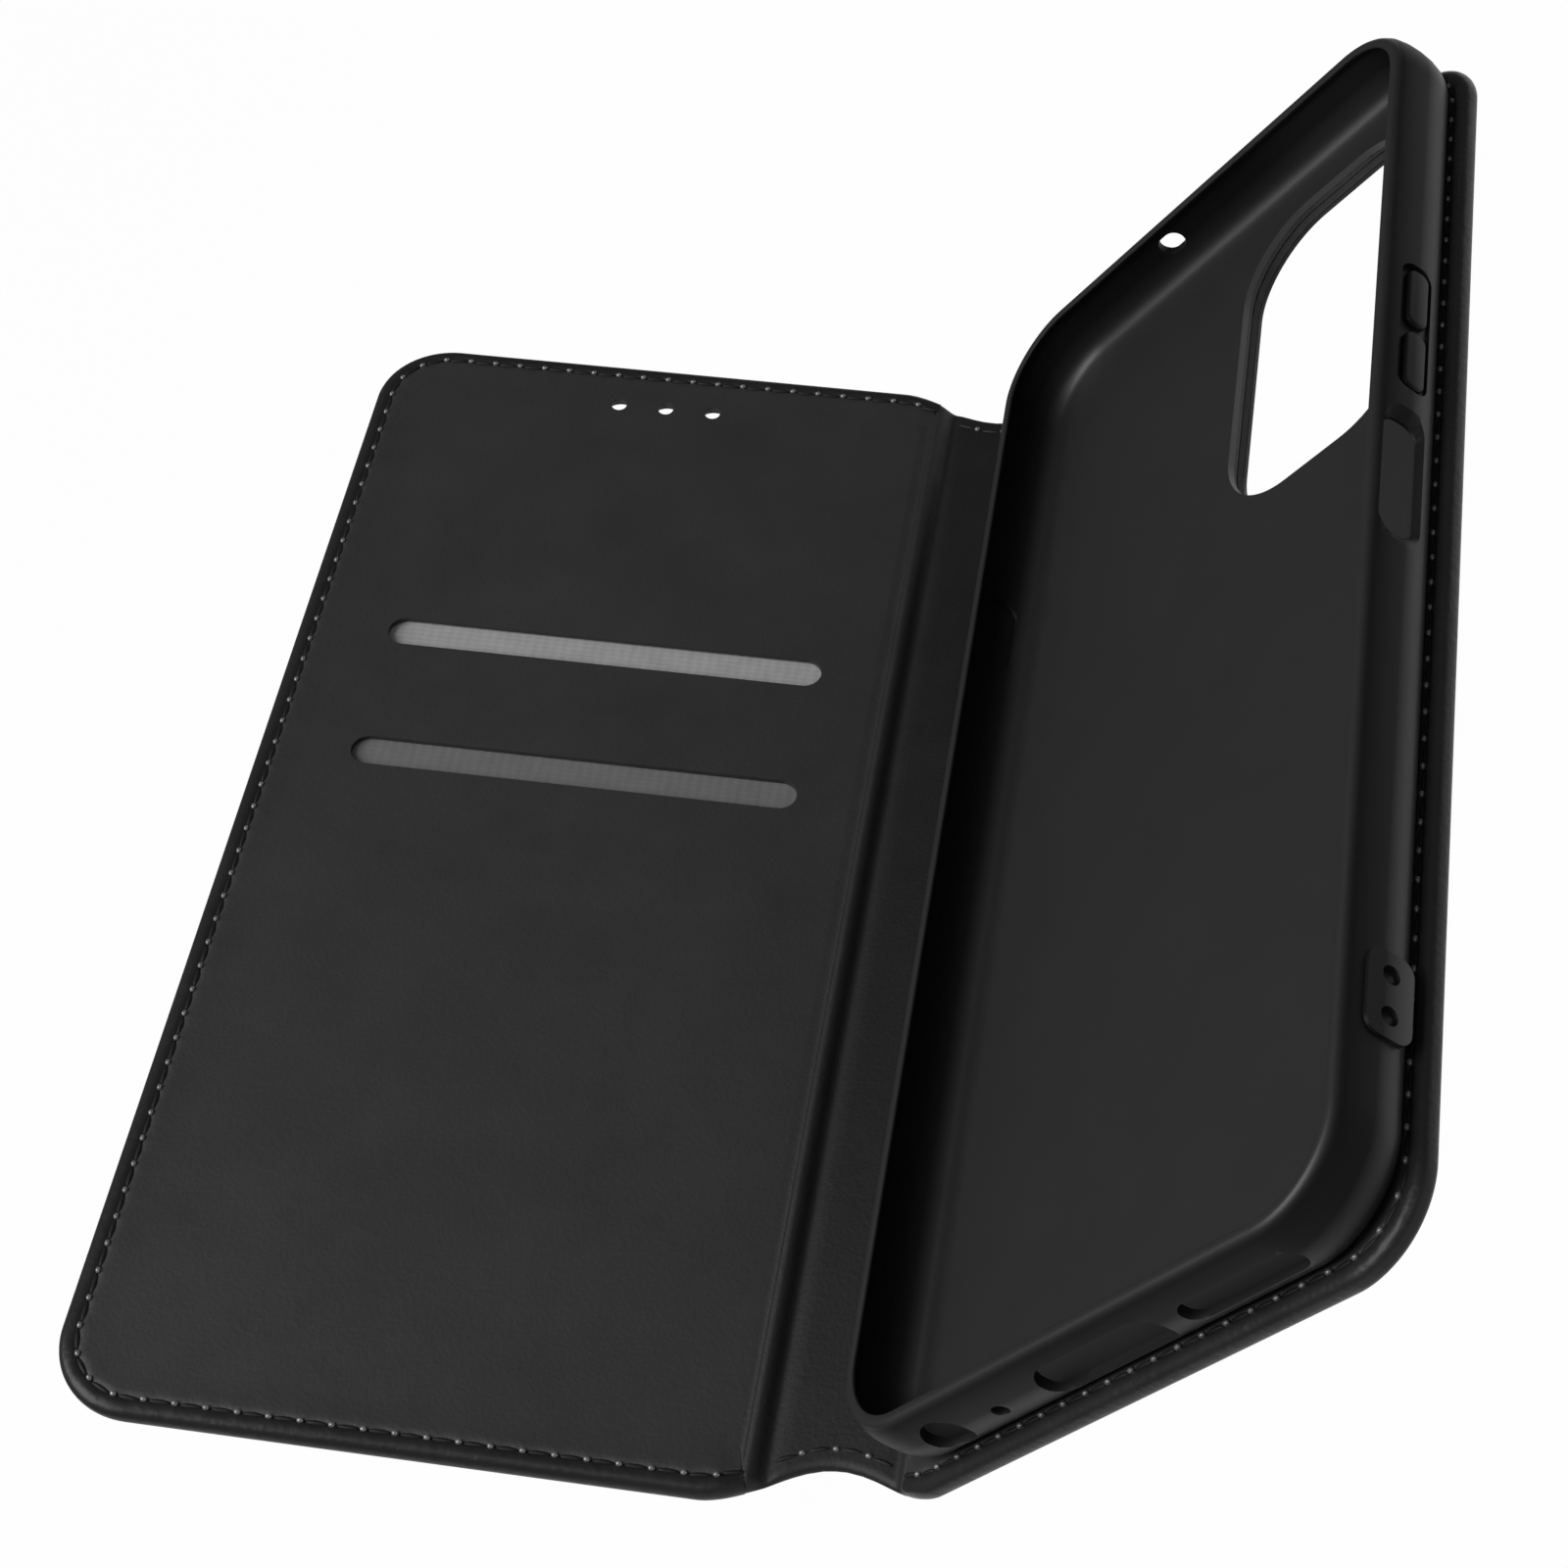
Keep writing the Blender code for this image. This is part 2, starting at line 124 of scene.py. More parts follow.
# Lanyard pad, and the relief inside the left wall, both as (length, height, corner)
LANYARD_PLACE = (-60.0, 6.8)
LANYARD_PAD = (9.6, 5.6, 1.7)
LANYARD_PAD_OUT = 1.7
LANYARD_PAD_T = 1.6
LANYARD_PITCH = 4.6
LANYARD_RADIUS = 1.05
RELIEF_PLACE = (33.7, 7.4)
RELIEF = (11.0, 5.0, 2.0)
RELIEF_CUT = 0.8

# Ports in the end walls, each as (place across, height, width, tallness)
BOTTOM_PORTS = ((0.9, 6.6, 18.6, 6.0), (21.2, 6.8, 16.6, 3.6), (-24.1, 6.9, 5.8, 5.8), (-15.4, 6.8, 2.0, 2.0))
TOP_PORT = (-8.5, 8.3, 3.8, 3.0)

# Covers, in millimetres; u runs from a cover's hinge axis to its free edge
COVER_HALF_H = 84.3
COVER_CORNER = 10.0
COVER_T = 2.2
COVER_CUT_ZS = (-1.0, COVER_T + 1.0)
COVER_CORNER_STEPS = 24
COVER_TOP_PIECES = 72
COVER_SIDE_PIECES = 84
PANEL_REACH = 80.6
PANEL_GAP = 1.9
HINGE_Z = 0.95
FRONT_TILT_DEG = 54.3
NOTCH_HALF_W = 7.2
NOTCH_DROP = 4.7
NOTCH_STEPS = 16
SPINE_EDGE_SHARE = 0.3

# Card slots and the cloth behind them
SLOT_U = 39.8
SLOT_SIZE = (57.5, 4.5)
SLOT_YS = (31.4, 11.1)
SLOT_CUT_ZS = (1.55, COVER_T + 1.0)
POCKET_W = 62.0
POCKET_TOP = 4.5
POCKET_BOTTOM_Y = -78.0
POCKET_ZS = (1.25, 1.45)
POCKET_GRID = (31, 57)
POCKET_WAVES = (17.0, 23.0)
POCKET_WAVE_HEIGHT = 0.02

# Ear-speaker holes, flared on the outer face, as (height, radius)
EAR_HOLE_Y = 76.5
EAR_HOLE_PITCH = 6.6
EAR_HOLE = ((3.2, 1.05), (1.55, 1.05), (0.0, 2.3), (-0.6, 2.78))

# Outer leather rolled over the edge to the seam, as (inset, height) from inside to the outer face
SKIN_PROFILE = ((2.5, 0.5), (2.42, 1.5), (2.3, 1.92), (2.12, 2.14), (1.84, 2.32), (1.45, 2.41), (1.05, 2.38),
                (0.66, 2.25), (0.33, 2.0), (0.1, 1.62), (0.0, 1.15), (0.04, 0.68), (0.2, 0.3), (0.48, 0.08),
                (0.9, 0.0), (1.6, 0.0), (1.9, 0.05), (2.2, 0.13), (2.5, 0.05), (2.8, 0.0), (4.0, 0.0),
                (5.0, 0.0))
SKIN_CREASE_Z = 2.17

# Lining from the seam inwards, as (inset, height) from under to the flat middle
LINING_PROFILE = ((2.9, 1.62), (2.5, 1.72), (2.26, 1.92), (2.3, 2.08), (2.46, 2.2), (2.7, 2.3), (3.1, 2.36),
                  (3.8, 2.34), (5.0, 2.27), (6.4, 2.24), (7.6, 2.24))
LINING_CREASE_DROP = 0.015
LINING_EDGE = 0.1
LINING_EDGE_DEG = 60.0
CREASE_EASE_POINTS = 9

# Seams, with each row's height and how far its loops lift above it
SEAM_INSET = 2.2
SEAM_START_U = PANEL_GAP + 1.5
SEAM_HEIGHTS = ((2.18, 0.2), (0.1, 0.06))
STITCH_PITCH = 3.5
STITCH_LENGTH = 2.7
STITCH_WIDTH = 0.6
LOOP_LENGTH = 0.85
LOOP_WIDTH = 0.66
BEAD_SEGMENTS = 10
BEAD_RINGS = 6
PUFF_HEIGHT = 0.16
PUFF_REACH = 1.2
PUFF_FROM_Z = COVER_T - 0.3

# Spine leather, as (distance from the hinge axis towards the panel, inner height, outer height)
SPINE_PROFILE = ((7.0, 1.2, -0.84), (6.0, 1.24, -0.92), (5.0, 1.27, -0.97), (4.5, 1.283, -0.99),
                 (4.1, 1.293, -1.0), (3.5, 1.3, -1.0), (2.8, 1.295, -1.0), (2.2, 1.26, -0.98),
                 (1.7, 1.17, -0.94), (1.25, 1.0, -0.88), (0.85, 0.77, -0.82), (0.45, 0.52, -0.76),
                 (0.05, 0.36, -0.72), (-0.35, 0.36, -0.71), (-0.75, 0.5, -0.72), (-1.25, 0.67, -0.75),
                 (-2.0, 0.77, -0.78), (-3.0, 0.8, -0.8), (-7.5, 0.8, -0.8))
SPINE_W = 15.0
SPINE_SMOOTHING = 3
SPINE_TUCK = (1.9, 3.3, 4.5)
SPINE_EDGE_ROUND = 1.2
SPINE_EDGE_STEPS = 8
# Where the spine's painted shade fades into the covers' own tone, as distances towards the panel
SPINE_SHADE_FADE = (-0.5, 3.0)
SPINE_OUTER_FACING = -0.3
SPINE_SEAM_HEIGHTS = ((0.7, 0.12), (-0.66, 0.02))
SPINE_SEAM_MARGIN = 2.2
SPINE_SEAM_STEPS = 12
BACK_CREASE_LEVEL = 0.8
BACK_CREASE_SHARE = 0.6
CREASE_BEND = 1.5

# Finishes, with sizes and depths in millimetres
MOTTLE_STOPS = (0.3, 0.72)
NOISE_SPAN = (0.25, 0.75)
LEATHER_DRIFT_MM = 14.0
LEATHER_SHEEN_MM = 5.0
LEATHER_WAVE_DEPTH = 0.12
FINE_GRAIN_SIZE_SHARE = 0.45
FINE_GRAIN_DEPTH_SHARE = 0.5
LINING_LOOK = {"dark": (0.018, 0.018, 0.0185), "light": (0.0225, 0.0225, 0.023), "rough": (0.54, 0.62),
               "grain_mm": 0.45, "grain_depth": 0.03, "shine": 0.42}
OUTER_LOOK = {"dark": (0.013, 0.013, 0.0135), "light": (0.017, 0.017, 0.0175), "rough": (0.32, 0.42),
              "grain_mm": 0.8, "grain_depth": 0.05, "shine": 0.2}
# Painted shade: the lining's leather darkened along the spine, where it lies in the fold between front cover
# and tray
SPINE_SHADE_DARK = (0.0042, 0.0042, 0.0044)
SPINE_SHADE_LIGHT = (0.0058, 0.0058, 0.006)
SPINE_SHINE = 0.34

# Moulded finish: tone by height, with painted shade darkening the walls and a painted highlight lightening
# the rim, and shine from the tray's floor up its walls to the rim
TRAY_SHADE_AND_HIGHLIGHT_TONES = ((4.4, 0.0132), (7.6, 0.0072), (10.9, 0.0072), (11.6, 0.015))
TRAY_BLUE = 1.04
TRAY_COLOUR = (0.0125, 0.0125, 0.013)
TRAY_ROUGH = (0.455, 0.475)
TRAY_DRIFT_MM = 9.0
TRAY_DRIFT = ((0.95, 0.95, 0.95), (1.0, 1.0, 1.0))
TRAY_TEXTURE_MM = 0.18
TRAY_TEXTURE_DEPTH = 0.012
TRAY_WALL_ZS = (4.4, 7.6)
TRAY_FLOOR_SHINE = 0.45
TRAY_WALL_SHINE = 0.07
TRAY_RIM_ZS = (11.2, 11.7)
TRAY_RIM_SHINE = 0.3

# Cloth, thread and inner pieces
CLOTH_ROUGH = 0.88
CLOTH_SHEEN = 0.25
CLOTH_DRIFT_MM = 3.0
WEAVE_SCALE = 420.0
WEAVE_DEPTH = 0.02
TWIST_MM = 0.16
TWIST_DEPTH = 0.03
INNER_DRIFT_MM = 2.0

# Sockets of a colour Mix node, which share their names with other types of its sockets
MIX_FACTOR = 0
MIX_FIRST = 6
MIX_SECOND = 7
MIX_RESULT = 2

hinge_back = Vector(next(j["pos_m"] for j in frame["joints"] if j["name"] == "back_crease"))
hinge_front = Vector(next(j["pos_m"] for j in frame["joints"] if j["name"] == "front_crease"))
spine_tilt = atan2(hinge_front.z - hinge_back.z, hinge_back.x - hinge_front.x)

# Places of the covers' own axes, and turns of a cutter to a side or end wall
TO_BACK = Matrix.Translation((hinge_back.x, hinge_back.y, 0.0))
TO_FRONT = (Matrix.Translation(hinge_front) @ Matrix.Rotation(radians(FRONT_TILT_DEG), 4, "Y")
            @ Matrix.Translation((0.0, 0.0, -HINGE_Z * MM)) @ Matrix.Rotation(pi, 4, "Z"))
TO_SPINE = Matrix.Translation(hinge_back) @ Matrix.Rotation(spine_tilt, 4, "Y")
SIDE_WALL = Matrix.Rotation(pi / 2, 4, "Z") @ Matrix.Rotation(pi / 2, 4, "X")
END_WALL = Matrix.Rotation(pi / 2, 4, "X")

# Corners of a rectangle, anticlockwise, each as (side in x, side in y, angle at which its arc starts)
CORNERS = ((1, 1, 0.0), (-1, 1, pi / 2), (-1, -1, pi), (1, -1, 3 * pi / 2))


# Outlines

def eased(value, start, end):
    """Share from 0 to 1 of the way from start to end, slow at both ends."""
    t = min(max((value - start) / (end - start), 0.0), 1.0)
    return t * t * (3.0 - 2.0 * t)


def between(first, last, pieces):
    """Points that divide a straight line, without its ends."""
    return [(first[0] + (last[0] - first[0]) * k / pieces, first[1] + (last[1] - first[1]) * k / pieces)
            for k in range(1, pieces)]


def arc(cx, cy, radius, start, end, steps):
    """Points on an arc, angles in radians."""
    return [(cx + radius * cos(start + (end - start) * i / steps),
             cy + radius * sin(start + (end - start) * i / steps)) for i in range(steps + 1)]


def rounded_rectangle(width, height, radius, centre=(0.0, 0.0), steps=CORNER_STEPS):
    """Outline of a rectangle with round corners, anticlockwise."""
    a = width / 2 - radius
    b = height / 2 - radius
    points = []
    for x, y, start in CORNERS:
        points += arc(centre[0] + x * a, centre[1] + y * b, radius, start, start + pi / 2, steps)
    return points


def stadium(width, height, centre=(0.0, 0.0)):
    """Outline of a slot with fully round ends."""
    return rounded_rectangle(width, height, min(width, height) * ROUND_END_SHARE, centre)


def circle(radius, centre=(0.0, 0.0)):
    """Outline of a round hole."""
    return arc(*centre, radius, 0.0, 2 * pi * (HOLE_SIDES - 1) / HOLE_SIDES, HOLE_SIDES - 1)


def phone_ring(offset):
    """The phone's outline moved out by an offset, with points along its straight sides too."""
    corners = rounded_rectangle(PHONE_W + 2 * offset, PHONE_H + 2 * offset, PHONE_CORNER + offset,
                                steps=TRAY_CORNER_STEPS)
    count = TRAY_CORNER_STEPS + 1
    points = []
    for i in range(len(CORNERS)):
        bend = corners[i * count:(i + 1) * count]
        follow = corners[(i + 1) * count % len(corners)]
        points += bend + between(bend[-1], follow, TRAY_SIDE_PIECES[i % 2])
    return points


def web_outline(side):
    """Web under a button, round at the window's end and square towards the other button."""
    width, height, corner = BUTTON_WEB
    points = []
    for x, y, start in CORNERS:
        outer = x * side > 0
        radius = corner if outer else BUTTON_WEB_INNER_CORNER
        reach = width / 2 if outer else BUTTON_PITCH / 2 - BUTTON_WEB_GAP
        points += arc(x * (reach - radius), y * (height / 2 - radius), radius, start, start + pi / 2,
                      CORNER_STEPS)
    return points


def notch_drop(u):
    """How far the cover's edge is cut back beside the spine."""
    return NOTCH_DROP * (1.0 - eased(u, -NOTCH_HALF_W, NOTCH_HALF_W))


def panel_edge(inset):
    """Upper edge of a panel from the spine to the middle of its free edge."""
    top = COVER_HALF_H - inset
    side = PANEL_REACH - inset
    radius = COVER_CORNER - inset
    first = PANEL_GAP + inset * SPINE_EDGE_SHARE
    points = []
    for i in range(NOTCH_STEPS + 1):
        u = first + (NOTCH_HALF_W - first) * i / NOTCH_STEPS
        points.append((u, top - notch_drop(u)))
    bend = arc(side - radius, top - radius, radius, pi / 2, 0.0, COVER_CORNER_STEPS)
    points += between(points[-1], bend[0], COVER_TOP_PIECES)
    return points + bend + between(bend[-1], (side, 0.0), COVER_SIDE_PIECES)


def panel_ring(inset):
    """Closed outline of a panel at an inset from its edge."""
    upper = panel_edge(inset)
    return upper + [(PANEL_REACH - inset, 0.0)] + [(u, -y) for u, y in reversed(upper)]


def seam_path():
    """Seam round a panel, open at the spine."""
    return [point for point in panel_ring(SEAM_INSET) if point[0] > SEAM_START_U]


def seam_puff():
    """Rise of the leather at every point of a panel's outline, from 0 at stitches to 1 between them."""
    path = seam_path()
    length = [0.0]
    for (u0, y0), (u1, y1) in zip(path, path[1:]):
        length.append(length[-1] + ((u1 - u0) ** 2 + (y1 - y0) ** 2) ** 0.5)
    pitch = length[-1] / int(length[-1] / STITCH_PITCH)
    rises = iter(0.5 - 0.5 * cos(2 * pi * value / pitch) for value in length)
    return [next(rises) if u > SEAM_START_U else 0.0 for u, y in panel_ring(SEAM_INSET)]


def panel_rings(profile, crease_height):
    """Rings of a panel's piece, puffed between the stitches and eased to another height at the crease."""
    puffs = seam_puff()
    rings = []
    for inset, z in profile:
        share = max(1.0 - abs(inset - SEAM_INSET) / PUFF_REACH, 0.0) if z > PUFF_FROM_Z else 0.0
        ring = [(u, y, z + PUFF_HEIGHT * share * puff) for (u, y), puff in zip(panel_ring(inset), puffs)]
        low = crease_height(inset, z)
        for i in range(CREASE_EASE_POINTS):
            for k in (i, -1 - i):
                u, y, high = ring[k]
                ring[k] = (u, y, low + (high - low) * eased(i, 0, CREASE_EASE_POINTS))
        rings.append(ring)
    return rings


# Meshes

def shown(name, data):
    """A new object in the scene."""
    item = bpy.data.objects.new(name, data)
    bpy.context.scene.collection.objects.link(item)
    return item


def shade(item):
    """Soft shading with crisp edges kept."""
    item.data.shade_smooth()
    item.data.set_sharp_from_angle(angle=radians(SHARP_DEG))


def finished(name, mesh, material):
    """A piece at the origin with outward faces and soft shading."""
    work = bmesh.new()
    work.from_mesh(mesh)
    bmesh.ops.remove_doubles(work, verts=work.verts, dist=MERGE_M)
    bmesh.ops.recalc_face_normals(work, faces=work.faces)
    work.to_mesh(mesh)
    work.free()
    mesh.materials.clear()
    mesh.materials.append(material)
    item = shown(name, mesh)
    shade(item)
    return item


def loft(rings):
    """Closed mesh through rings of 3D points in millimetres, capped at both ends."""
    work = bmesh.new()
    loops = [[work.verts.new([c * MM for c in point]) for point in ring] for ring in rings]
    count = len(loops[0])
    for lower, upper in zip(loops, loops[1:]):
        for i in range(count):
            j = (i + 1) % count
            work.faces.new((lower[i], lower[j], upper[j], upper[i]))
    work.faces.new(loops[0])
    work.faces.new(loops[-1])
    bmesh.ops.recalc_face_normals(work, faces=work.faces)
    mesh = bpy.data.meshes.new("loft")
    work.to_mesh(mesh)
    work.free()
    return mesh


def at_height(outline, z):
    """An outline as a ring of 3D points."""
    return [(x, y, z) for x, y in outline]


def prism(outline, heights):
    """A straight solid through one outline at several heights."""
    return loft([at_height(outline, z) for z in heights])


def placed(mesh, turn, place):
    """A mesh turned, then moved to a place in millimetres."""
    mesh.transform(Matrix.Translation([value * MM for value in place]) @ turn)
    return mesh


def wall_cutter(outline, turn, place, depth):
    """A prism through a tray wall."""
    return placed(prism(outline, (-depth / 2, depth / 2)), turn, place)


def applied(item):
    """Apply every modifier of a piece to its mesh."""
    bpy.context.view_layer.update()
    done = bpy.data.meshes.new_from_object(item.evaluated_get(bpy.context.evaluated_depsgraph_get()))
    item.modifiers.clear()
    item.data = done
    return item


def cut(item, meshes, operation="DIFFERENCE"):
    """Cut solids out of a piece, or join them to it."""
    for mesh in meshes:
        tool = shown("tool", mesh)
        step = item.modifiers.new("cut", "BOOLEAN")
        step.operation = operation
        step.solver = "EXACT"
        step.object = tool
        applied(item)
        bpy.data.objects.remove(tool, do_unlink=True)


def soften(item, width, angle_deg):
    """Break the edges of a moulded or cut piece that are sharper than an angle."""
    step = item.modifiers.new("edge", "BEVEL")
    step.width = width * MM
    step.segments = 2
    step.limit_method = "ANGLE"
    step.angle_limit = radians(angle_deg)
    step.use_clamp_overlap = True
    applied(item)


def even_normals(item):
    """Shade flat faces flat right up to their broken edges."""
    shade(item)
    step = item.modifiers.new("normals", "WEIGHTED_NORMAL")
    step.keep_sharp = True
    applied(item)


# Nodes

def add(tree, kind, **values):
    """A node with its named inputs set."""
    node = tree.nodes.new(kind)
    for key, value in values.items():
        node.inputs[key.replace("_", " ")].default_value = value
    return node


def object_texture(tree, kind, **values):
    """A texture on Object coordinates."""
    place = tree.nodes.new("ShaderNodeTexCoord")
    texture = add(tree, kind, **values)
    tree.links.new(place.outputs["Object"], texture.inputs["Vector"])
    return texture


def object_noise(tree, size_mm, detail):
    """Noise of a real size."""
    return object_texture(tree, "ShaderNodeTexNoise", Scale=1.0 / MM / size_mm, Detail=detail, Roughness=0.55)


def ranged(tree, value, start, end, low, high):
    """A value's way from start to end, as one from low to high."""
    node = add(tree, "ShaderNodeMapRange", From_Min=start, From_Max=end, To_Min=low, To_Max=high)
    tree.links.new(value, node.inputs["Value"])
    return node.outputs["Result"]


def reckoned(tree, operation, first, second):
    """Result of a Math node on a socket and a second socket or number."""
    node = tree.nodes.new("ShaderNodeMath")
    node.operation = operation
    tree.links.new(first, node.inputs[0])
    if isinstance(second, float):
        node.inputs[1].default_value = second
    else:
        tree.links.new(second, node.inputs[1])
    return node.outputs["Value"]


def mixed(tree, first, second, way):
    """A Mix node of two colours, fully mixed unless its factor is linked."""
    mix = tree.nodes.new("ShaderNodeMix")
    mix.data_type = "RGBA"
    mix.blend_type = way
    mix.inputs[MIX_FACTOR].default_value = 1.0
    tree.links.new(first, mix.inputs[MIX_FIRST])
    tree.links.new(second, mix.inputs[MIX_SECOND])
    return mix


def two_tones(tree, noise, dark, light):
    """Colour that drifts between two tones with a noise."""
    ramp = tree.nodes.new("ShaderNodeValToRGB")
    for stop, place, tone in zip(ramp.color_ramp.elements, MOTTLE_STOPS, (dark, light)):
        stop.position = place
        stop.color = (*tone, 1.0)
    tree.links.new(noise.outputs["Fac"], ramp.inputs["Fac"])
    return ramp.outputs["Color"]


def mottle(tree, shader, noise, dark, light):
    """Base colour that drifts between two tones with a noise."""
    tree.links.new(two_tones(tree, noise, dark, light), shader.inputs["Base Color"])


def vary_roughness(tree, shader, noise, low, high):
    """Roughness that drifts between two values with a noise."""
    tree.links.new(ranged(tree, noise.outputs["Fac"], *NOISE_SPAN, low, high), shader.inputs["Roughness"])


def bump(tree, shader, sources):
    """Relief from several height sources, each (socket, depth in millimetres), one after another."""
    before = None
    for socket, depth in sources:
        relief = add(tree, "ShaderNodeBump", Strength=1.0, Distance=depth * MM)
        tree.links.new(socket, relief.inputs["Height"])
        if before:
            tree.links.new(before.outputs["Normal"], relief.inputs["Normal"])
        before = relief
    tree.links.new(before.outputs["Normal"], shader.inputs["Normal"])


# Materials

def node_material(name, colour, roughness):
    """A Principled material and its node tree."""
    material = bpy.data.materials.new(name)
    material.use_nodes = True
    shader = material.node_tree.nodes["Principled BSDF"]
    shader.inputs["Base Color"].default_value = (*colour, 1.0)
    shader.inputs["Roughness"].default_value = roughness
    return material, material.node_tree, shader


def leather(name, dark, light, rough, grain_mm, grain_depth, shine):
    """Coated leather: pressed pebble grain, slow mottling and a faint sheen."""
    material, tree, shader = node_material(name, light, rough[0])
    drift = object_noise(tree, LEATHER_DRIFT_MM, detail=4.0)
    cells = object_texture(tree, "ShaderNodeTexVoronoi", Scale=1.0 / MM / grain_mm, Randomness=1.0)
    cells.feature = "SMOOTH_F1"
    fine = object_noise(tree, grain_mm * FINE_GRAIN_SIZE_SHARE, detail=3.0)
    mottle(tree, shader, drift, dark, light)
    vary_roughness(tree, shader, object_noise(tree, LEATHER_SHEEN_MM, detail=3.0), *rough)
    bump(tree, shader, ((cells.outputs["Distance"], grain_depth),
                        (fine.outputs["Fac"], grain_depth * FINE_GRAIN_DEPTH_SHARE),
                        (drift.outputs["Fac"], LEATHER_WAVE_DEPTH)))
    shader.inputs["Specular IOR Level"].default_value = shine
    return material


def shaded_spine_leather(name, share_name):
    """The lining's leather darkened along the spine with painted shade, which fades into the covers' own
    tone.
    """
    material = leather(name, **LINING_LOOK)
    tree = material.node_tree
    shader = tree.nodes["Principled BSDF"]
    cover_tone = shader.inputs["Base Color"].links[0].from_socket
    # Painted shade: a darker copy of the lining's tone along the spine
    spine_shade_tone = two_tones(tree, object_noise(tree, LEATHER_DRIFT_MM, detail=4.0), SPINE_SHADE_DARK, SPINE_SHADE_LIGHT)
    share = tree.nodes.new("ShaderNodeAttribute")
    share.attribute_name = share_name
    tone = mixed(tree, spine_shade_tone, cover_tone, "MIX")
    tree.links.new(share.outputs["Fac"], tone.inputs[MIX_FACTOR])
    tree.links.new(tone.outputs[MIX_RESULT], shader.inputs["Base Color"])
    shader.inputs["Specular IOR Level"].default_value = SPINE_SHINE
    return material


def moulded(name):
    """Soft moulded plastic: fine texture, walls darkened with painted shade and duller, and a rim lightened
    with a painted highlight that also catches the light.
    """
    material, tree, shader = node_material(name, TRAY_COLOUR, TRAY_ROUGH[0])
    link = tree.links.new
    place = tree.nodes.new("ShaderNodeTexCoord")
    split = tree.nodes.new("ShaderNodeSeparateXYZ")
    link(place.outputs["Object"], split.inputs["Vector"])
    height = split.outputs["Z"]
    # Painted shade and highlight: the walls darker and the rim lighter than the floor, by height
    shade_and_highlight_ramp = tree.nodes.new("ShaderNodeValToRGB")
    stops = shade_and_highlight_ramp.color_ramp.elements
    while len(stops) < len(TRAY_SHADE_AND_HIGHLIGHT_TONES):
        stops.new(1.0)
    for stop, (z, value) in zip(stops, TRAY_SHADE_AND_HIGHLIGHT_TONES):
        stop.position = z / TRAY_TOP_Z
        stop.color = (value, value, value * TRAY_BLUE, 1.0)
    link(ranged(tree, height, 0.0, TRAY_TOP_Z * MM, 0.0, 1.0), shade_and_highlight_ramp.inputs["Fac"])
    drift = object_noise(tree, TRAY_DRIFT_MM, detail=2.0)
    tone = mixed(tree, shade_and_highlight_ramp.outputs["Color"], two_tones(tree, drift, *TRAY_DRIFT), "MULTIPLY")
    link(tone.outputs[MIX_RESULT], shader.inputs["Base Color"])
    wall = ranged(tree, height, *(z * MM for z in TRAY_WALL_ZS), TRAY_FLOOR_SHINE, TRAY_WALL_SHINE)
    rim = ranged(tree, height, *(z * MM for z in TRAY_RIM_ZS), 0.0, TRAY_RIM_SHINE)
    link(reckoned(tree, "ADD", wall, rim), shader.inputs["Specular IOR Level"])
    vary_roughness(tree, shader, drift, *TRAY_ROUGH)
    texture = object_noise(tree, TRAY_TEXTURE_MM, detail=2.0)
    bump(tree, shader, ((texture.outputs["Fac"], TRAY_TEXTURE_DEPTH),))
    return material


def woven(name, dark, light):
    """Plain-weave pocket cloth."""
    material, tree, shader = node_material(name, light, CLOTH_ROUGH)
    heights = []
    for direction in ("X", "Y"):
        wave = object_texture(tree, "ShaderNodeTexWave", Scale=WEAVE_SCALE, Distortion=0.6, Detail=1.0)
        wave.wave_type = "BANDS"
        wave.bands_direction = direction
        heights.append((wave.outputs["Fac"], WEAVE_DEPTH))
    mottle(tree, shader, object_noise(tree, CLOTH_DRIFT_MM, detail=4.0), dark, light)
    bump(tree, shader, heights)
    shader.inputs["Sheen Weight"].default_value = CLOTH_SHEEN
    return material


def thread(name, dark, light, rough, shine):
    """Twisted sewing thread."""
    material, tree, shader = node_material(name, light, rough)
    twist = object_noise(tree, TWIST_MM, detail=2.0)
    mottle(tree, shader, twist, dark, light)
    bump(tree, shader, ((twist.outputs["Fac"], TWIST_DEPTH),))
    shader.inputs["Specular IOR Level"].default_value = shine
    return material


def plain(name, dark, light, rough, metallic=0.0):
    """Finish of an inner piece: a slow drift of tone."""
    material, tree, shader = node_material(name, light, rough)
    mottle(tree, shader, object_noise(tree, INNER_DRIFT_MM, detail=4.0), dark, light)
    shader.inputs["Metallic"].default_value = metallic
    return material


LINING_LEATHER = leather("lining_leather", **LINING_LOOK)
SHADED_SPINE_LEATHER = shaded_spine_leather("shaded_spine_leather", "unshaded_share")
OUTER_LEATHER = leather("outer_leather", **OUTER_LOOK)
SHELL_PLASTIC = moulded("moulded_shell")
UPPER_CLOTH = woven("upper_pocket_cloth", dark=(0.26, 0.26, 0.263), light=(0.3, 0.3, 0.303))
LOWER_CLOTH = woven("lower_pocket_cloth", dark=(0.098, 0.098, 0.1), light=(0.114, 0.114, 0.116))
SEAM_THREAD = thread("seam_thread", dark=(0.004, 0.004, 0.004), light=(0.009, 0.009, 0.009),
                     rough=0.6, shine=0.25)
# Painted highlight: the loops are the same black thread as the stitches, lightened so that they read as
# glints
LOOP_HIGHLIGHT_THREAD = thread("loop_highlight_thread", dark=(0.08, 0.08, 0.081), light=(0.16, 0.16, 0.161),
                     rough=0.12, shine=1.0)
BOARD = plain("dyed_board", dark=(0.02, 0.02, 0.02), light=(0.035, 0.034, 0.033), rough=0.85)
FILM = plain("adhesive_film", dark=(0.02, 0.02, 0.02), light=(0.03, 0.03, 0.03), rough=0.4)
MAGNET = plain("plated_magnet", dark=(0.5, 0.5, 0.52), light=(0.62, 0.62, 0.64), rough=0.3, metallic=1.0)


# Moulded tray and buttons

